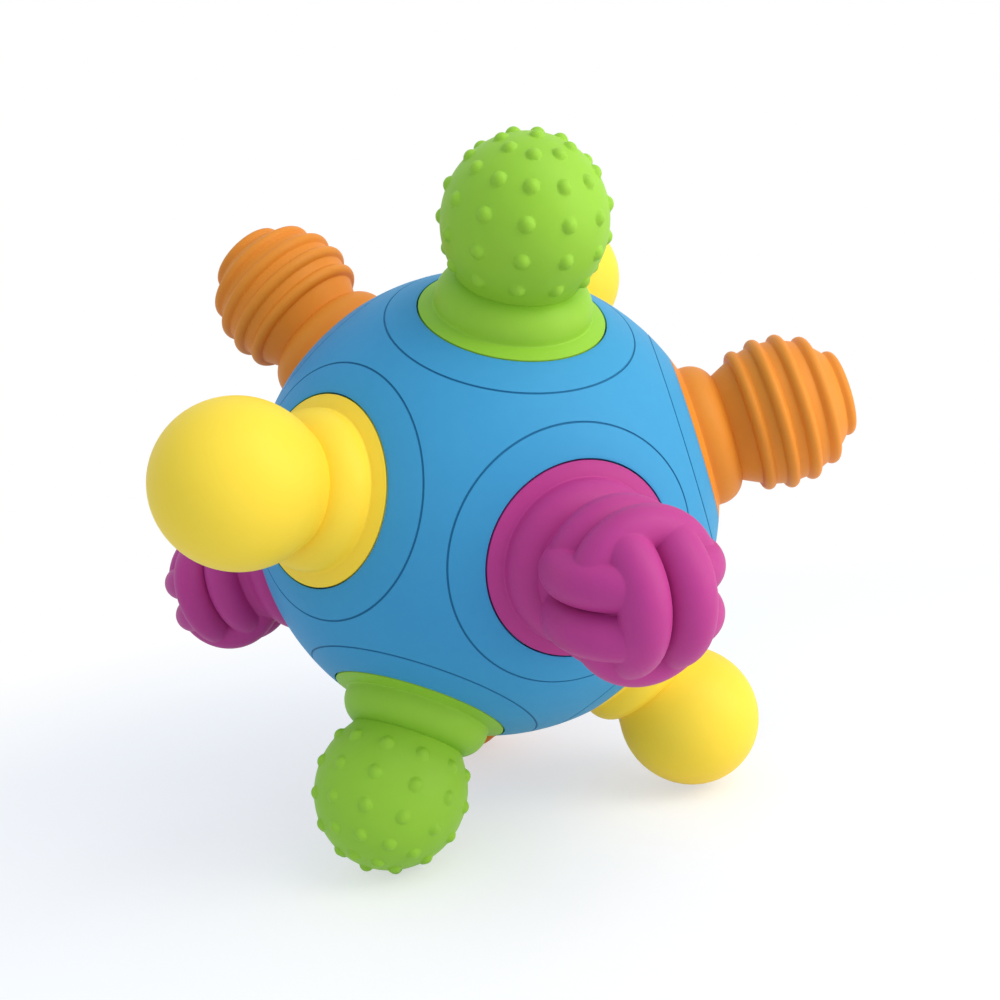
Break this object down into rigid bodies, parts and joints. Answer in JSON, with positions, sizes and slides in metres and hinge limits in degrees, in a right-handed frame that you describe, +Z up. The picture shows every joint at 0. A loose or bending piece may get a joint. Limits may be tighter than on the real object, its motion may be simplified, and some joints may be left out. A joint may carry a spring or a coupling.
{
  "type": "sensory ball",
  "caption": "Hollow ball toy with turning knobs all round it, their soft heads smooth, dotted, ribbed or knotted.",
  "frame": {"origin": "centre of the ball", "axes": "+Z up with the ball standing on three of its knobs; +X towards the ribbed knob at the right of the picture; +Y away from the picture's view"},
  "size_m": [0.1554, 0.1392, 0.133],
  "materials": {
    "blue_shell": "satin moulded",
    "yellow_rubber": "soft matte",
    "green_rubber": "soft matte",
    "orange_rubber": "soft matte",
    "purple_rubber": "soft matte",
    "stem_plastic": "moulded",
    "washer_steel": "zinc plated",
    "screw_steel": "zinc plated"
  },
  "bodies": {
    "root": {"front_shell": "blue_shell", "rear_shell": "blue_shell"},
    "dotted_top": {"dotted_top_skin": "green_rubber", "dotted_top_stem": "stem_plastic", "dotted_top_washer": "washer_steel", "dotted_top_screw": "screw_steel"},
    "ribbed_top": {"ribbed_top_skin": "orange_rubber", "ribbed_top_stem": "stem_plastic", "ribbed_top_washer": "washer_steel", "ribbed_top_screw": "screw_steel"},
    "smooth_top": {"smooth_top_skin": "yellow_rubber", "smooth_top_stem": "stem_plastic", "smooth_top_washer": "washer_steel", "smooth_top_screw": "screw_steel"},
    "smooth_left": {"smooth_left_skin": "yellow_rubber", "smooth_left_stem": "stem_plastic", "smooth_left_washer": "washer_steel", "smooth_left_screw": "screw_steel"},
    "ribbed_right": {"ribbed_right_skin": "orange_rubber", "ribbed_right_stem": "stem_plastic", "ribbed_right_washer": "washer_steel", "ribbed_right_screw": "screw_steel"},
    "dotted_rear": {"dotted_rear_skin": "green_rubber", "dotted_rear_stem": "stem_plastic", "dotted_rear_washer": "washer_steel", "dotted_rear_screw": "screw_steel"},
    "knotted_front": {"knotted_front_skin": "purple_rubber", "knotted_front_stem": "stem_plastic", "knotted_front_washer": "washer_steel", "knotted_front_screw": "screw_steel"},
    "knotted_left": {"knotted_left_skin": "purple_rubber", "knotted_left_stem": "stem_plastic", "knotted_left_washer": "washer_steel", "knotted_left_screw": "screw_steel"},
    "knotted_rear": {"knotted_rear_skin": "purple_rubber", "knotted_rear_stem": "stem_plastic", "knotted_rear_washer": "washer_steel", "knotted_rear_screw": "screw_steel"},
    "dotted_base": {"dotted_base_skin": "green_rubber", "dotted_base_stem": "stem_plastic", "dotted_base_washer": "washer_steel", "dotted_base_screw": "screw_steel"},
    "smooth_base": {"smooth_base_skin": "yellow_rubber", "smooth_base_stem": "stem_plastic", "smooth_base_washer": "washer_steel", "smooth_base_screw": "screw_steel"},
    "ribbed_base": {"ribbed_base_skin": "orange_rubber", "ribbed_base_stem": "stem_plastic", "ribbed_base_washer": "washer_steel", "ribbed_base_screw": "screw_steel"}
  },
  "joints": [
    {"name": "dotted_top_turn", "type": "hinge", "parent": "root", "child": "dotted_top", "pos_m": [0.01518, -0.02629, 0.03973], "axis": [0.3035, -0.5257, 0.7947], "continuous": true},
    {"name": "ribbed_top_turn", "type": "hinge", "parent": "root", "child": "ribbed_top", "pos_m": [-0.03035, 0, 0.03973], "axis": [-0.6071, 0, 0.7947], "continuous": true},
    {"name": "smooth_top_turn", "type": "hinge", "parent": "root", "child": "smooth_top", "pos_m": [0.01518, 0.02629, 0.03973], "axis": [0.3035, 0.5257, 0.7947], "continuous": true},
    {"name": "smooth_left_turn", "type": "hinge", "parent": "root", "child": "smooth_left", "pos_m": [-0.02456, -0.04253, 0.00938], "axis": [-0.4911, -0.8507, 0.1876], "continuous": true},
    {"name": "ribbed_right_turn", "type": "hinge", "parent": "root", "child": "ribbed_right", "pos_m": [0.04911, 0, 0.00938], "axis": [0.9822, 0, 0.1876], "continuous": true},
    {"name": "dotted_rear_turn", "type": "hinge", "parent": "root", "child": "dotted_rear", "pos_m": [-0.02456, 0.04253, 0.00938], "axis": [-0.4911, 0.8507, 0.1876], "continuous": true},
    {"name": "knotted_front_turn", "type": "hinge", "parent": "root", "child": "knotted_front", "pos_m": [0.02456, -0.04253, -0.00938], "axis": [0.4911, -0.8507, -0.1876], "continuous": true},
    {"name": "knotted_left_turn", "type": "hinge", "parent": "root", "child": "knotted_left", "pos_m": [-0.04911, 0, -0.00938], "axis": [-0.9822, 0, -0.1876], "continuous": true},
    {"name": "knotted_rear_turn", "type": "hinge", "parent": "root", "child": "knotted_rear", "pos_m": [0.02456, 0.04253, -0.00938], "axis": [0.4911, 0.8507, -0.1876], "continuous": true},
    {"name": "dotted_base_turn", "type": "hinge", "parent": "root", "child": "dotted_base", "pos_m": [-0.01518, -0.02629, -0.03973], "axis": [-0.3035, -0.5257, -0.7947], "continuous": true},
    {"name": "smooth_base_turn", "type": "hinge", "parent": "root", "child": "smooth_base", "pos_m": [0.03035, 0, -0.03973], "axis": [0.6071, 0, -0.7947], "continuous": true},
    {"name": "ribbed_base_turn", "type": "hinge", "parent": "root", "child": "ribbed_base", "pos_m": [-0.01518, 0.02629, -0.03973], "axis": [-0.3035, 0.5257, -0.7947], "continuous": true}
  ]
}
